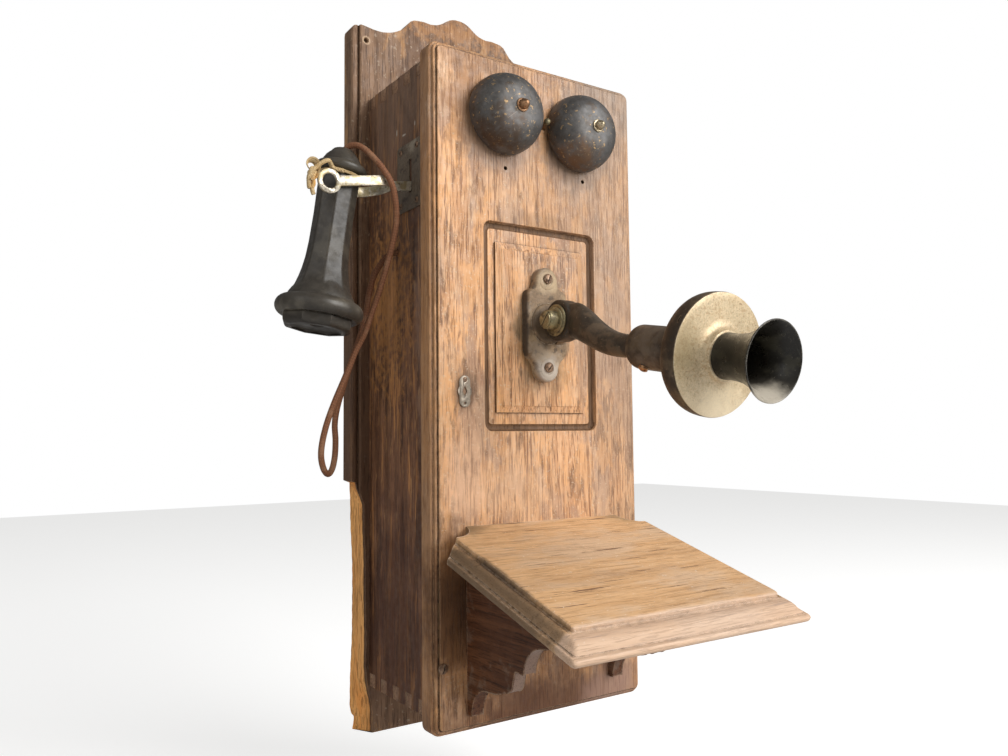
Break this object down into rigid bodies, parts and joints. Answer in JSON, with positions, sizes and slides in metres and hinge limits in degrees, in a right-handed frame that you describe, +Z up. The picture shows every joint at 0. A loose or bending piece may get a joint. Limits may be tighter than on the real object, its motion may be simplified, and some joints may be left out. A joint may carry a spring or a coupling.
{
  "type": "wall telephone",
  "caption": "Oak box wall telephone with door-mounted gongs, tilting transmitter on a curved arm, sloping writing shelf, forked hook and hanging receiver on its cord.",
  "frame": {"origin": "centre of the backboard's rear face, which lies flat on the wall, midway between its left and right edges", "axes": "+X to the right as seen from the front, +Y into the wall, so the front faces -Y, +Z up"},
  "size_m": [0.3944, 0.4442, 0.756],
  "materials": {
    "oak_backboard": "weathered oak, grey-brown, dull varnish",
    "oak_side": "dark worn varnish on oak",
    "oak_door": "orange-tan quartered oak, worn satin varnish",
    "oak_shelf": "dusty olive-tan oak, dull",
    "bracket_wood": "dark red-brown stained wood, sawn edges",
    "inner_wood": "bare oak inside the box",
    "gong_metal": "tarnished blue-grey plating with rusty patches",
    "nut_metal": "worn brown-copper plating",
    "bracket_iron": "dusty brown-grey japanned casting",
    "pivot_brass": "olive tarnished brass",
    "arm_enamel": "black enamel worn to brown",
    "cup_enamel": "dark brown worn enamel",
    "plate_nickel": "pale nickel over brass, speckled brown",
    "mouth_rubber": "black moulded, worn gloss",
    "receiver_rubber": "charcoal moulded, semi-gloss",
    "hook_nickel": "worn nickel with yellowish patches",
    "hook_plate_metal": "dark worn plating",
    "lock_silver": "worn silver plating",
    "screw_steel": "dull browned steel",
    "inner_iron": "dark iron",
    "magnet_red": "dark red painted steel",
    "gear_brass": "turned brass",
    "shaft_steel": "turned steel",
    "knob_black": "black turned knob",
    "coil_wrap": "dark red coil covering",
    "contact_brass": "contact springs",
    "cell_case": "plain card case",
    "block_black": "dark block with brass posts",
    "wire_cover": "braided wire covering",
    "cord_braid": "reddish-brown braided cord",
    "string_yarn": "yellowish tan string",
    "carbon_dark": "carbon button in its case",
    "diaphragm_metal": "thin plain disc"
  },
  "bodies": {
    "cabinet": {"backboard": "oak_backboard", "side_left": "oak_side", "side_right": "oak_side", "top_board": "oak_side", "bottom_board": "oak_side", "generator_shelf": "inner_wood", "hinge_box_leaves": "pivot_brass", "hinge_pins": "pivot_brass", "hook_plate": "hook_plate_metal", "hook_plate_screws": "screw_steel", "hook_switch_frame": "pivot_brass", "hook_contacts": "contact_brass", "receiver_cord": "cord_braid", "generator_magnets": "magnet_red", "generator_end_plates": "gear_brass", "crank_bushing": "gear_brass", "dry_cells": "cell_case", "induction_coil": "coil_wrap", "terminal_block": "block_black", "wiring": "wire_cover"},
    "door": {"door_panel": "oak_door", "hinge_door_leaves": "pivot_brass", "door_screw": "screw_steel", "lock_escutcheon": "lock_silver", "escutcheon_screw": "screw_steel", "lock_case": "pivot_brass", "gong_left": "gong_metal", "gong_right": "gong_metal", "gong_posts": "screw_steel", "gong_nuts": "nut_metal", "ringer_frame": "inner_iron", "ringer_coils": "coil_wrap", "transmitter_bracket": "bracket_iron", "bracket_screws": "screw_steel", "pivot_bolt": "pivot_brass", "pivot_washers": "pivot_brass", "shelf": "oak_shelf", "shelf_bracket_left": "bracket_wood", "shelf_bracket_right": "bracket_wood"},
    "clapper": {"clapper": "gear_brass"},
    "lock_bolt": {"lock_bolt": "gear_brass"},
    "transmitter": {"transmitter_arm": "arm_enamel", "transmitter_cup": "cup_enamel", "clamp_screw": "nut_metal", "faceplate": "plate_nickel", "mouthpiece": "mouth_rubber", "transmitter_diaphragm": "diaphragm_metal", "carbon_button": "carbon_dark"},
    "receiver": {"receiver_body": "receiver_rubber", "receiver_tail_cap": "receiver_rubber", "receiver_ear_cap": "receiver_rubber", "receiver_diaphragm": "diaphragm_metal", "receiver_magnet": "inner_iron", "neck_string": "string_yarn"},
    "hook": {"hook_lever": "hook_nickel"},
    "crank": {"crank_shaft": "shaft_steel", "drive_gear": "gear_brass", "crank_arm": "shaft_steel"},
    "crank_knob": {"crank_knob": "knob_black"},
    "armature": {"generator_armature": "inner_iron"}
  },
  "joints": [
    {"name": "door_hinge", "type": "hinge", "parent": "cabinet", "child": "door", "pos_m": [0.1112, -0.1468, 0], "axis": [0, 0, 1], "range_deg": [0, 100]},
    {"name": "clapper_rock", "type": "hinge", "parent": "door", "child": "clapper", "pos_m": [0, -0.133, 0.165], "axis": [0, 1, 0], "range_deg": [-3.3, 3.3], "stiffness_Nm_per_rad": 0.03},
    {"name": "lock_slide", "type": "slide", "parent": "door", "child": "lock_bolt", "axis": [-1, 0, 0], "range_m": [0, 0.0065]},
    {"name": "transmitter_tilt", "type": "hinge", "parent": "door", "child": "transmitter", "pos_m": [0, -0.205, 0.021], "axis": [-1, 0, 0], "range_deg": [-30, 25]},
    {"name": "receiver_slide", "type": "slide", "parent": "cabinet", "child": "receiver", "axis": [-0.9063, 0, 0.4226], "range_m": [0, 0.11], "deforming": ["receiver_cord"]},
    {"name": "hook_lift", "type": "hinge", "parent": "cabinet", "child": "hook", "pos_m": [-0.06, -0.114, 0.1604], "axis": [0, 1, 0], "range_deg": [0, 20.05]},
    {"name": "crank_turn", "type": "hinge", "parent": "cabinet", "child": "crank", "pos_m": [0.114, -0.074, 0.114], "axis": [1, 0, 0], "continuous": true},
    {"name": "crank_knob_turn", "type": "hinge", "parent": "crank", "child": "crank_knob", "pos_m": [0.14, -0.05861, 0.07171], "axis": [1, 0, 0], "continuous": true},
    {"name": "armature_turn", "type": "hinge", "parent": "cabinet", "child": "armature", "pos_m": [0, -0.074, 0.069], "axis": [1, 0, 0], "continuous": true}
  ],
  "couplings": [
    {"joint": "hook_lift", "follows": "receiver_slide", "rad_per_m": 3.17},
    {"joint": "armature_turn", "follows": "crank_turn", "ratio": -5}
  ]
}
